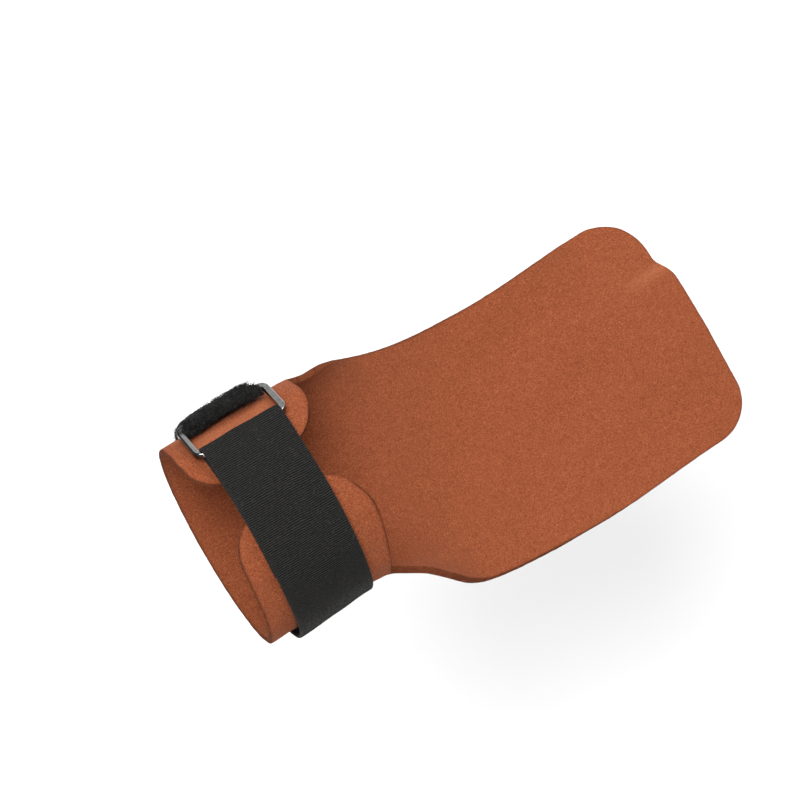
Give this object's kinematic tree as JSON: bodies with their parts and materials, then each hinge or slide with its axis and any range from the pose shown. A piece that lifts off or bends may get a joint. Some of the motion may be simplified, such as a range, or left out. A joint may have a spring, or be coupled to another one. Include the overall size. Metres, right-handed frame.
{
  "type": "gymnastics hand grip",
  "caption": "Suede leather hand grip in its worn form: a wrist band with rounded tabs, a wide palm pad with a rounded free end, a metal ring and a webbing strap that closes the band.",
  "frame": {"origin": "centre of the wrist loop, on its axis, at the middle of the band's width", "axes": "+X along the forearm towards the pad's free end, +Z to the back of the wrist, where the band closes, +Y to the little-finger side"},
  "size_m": [0.1753, 0.0903, 0.0666],
  "materials": {
    "suede": "rust tan suede, fine short nap",
    "gunmetal": "dark polished nickel",
    "loop_pile": "black brushed loop pile",
    "ribbed_webbing": "black webbing with fine cross ribs"
  },
  "bodies": {
    "root": {"leather_body": "suede", "ring": "gunmetal", "ring_keeper": "loop_pile", "closing_strap": "ribbed_webbing"}
  },
  "joints": []
}
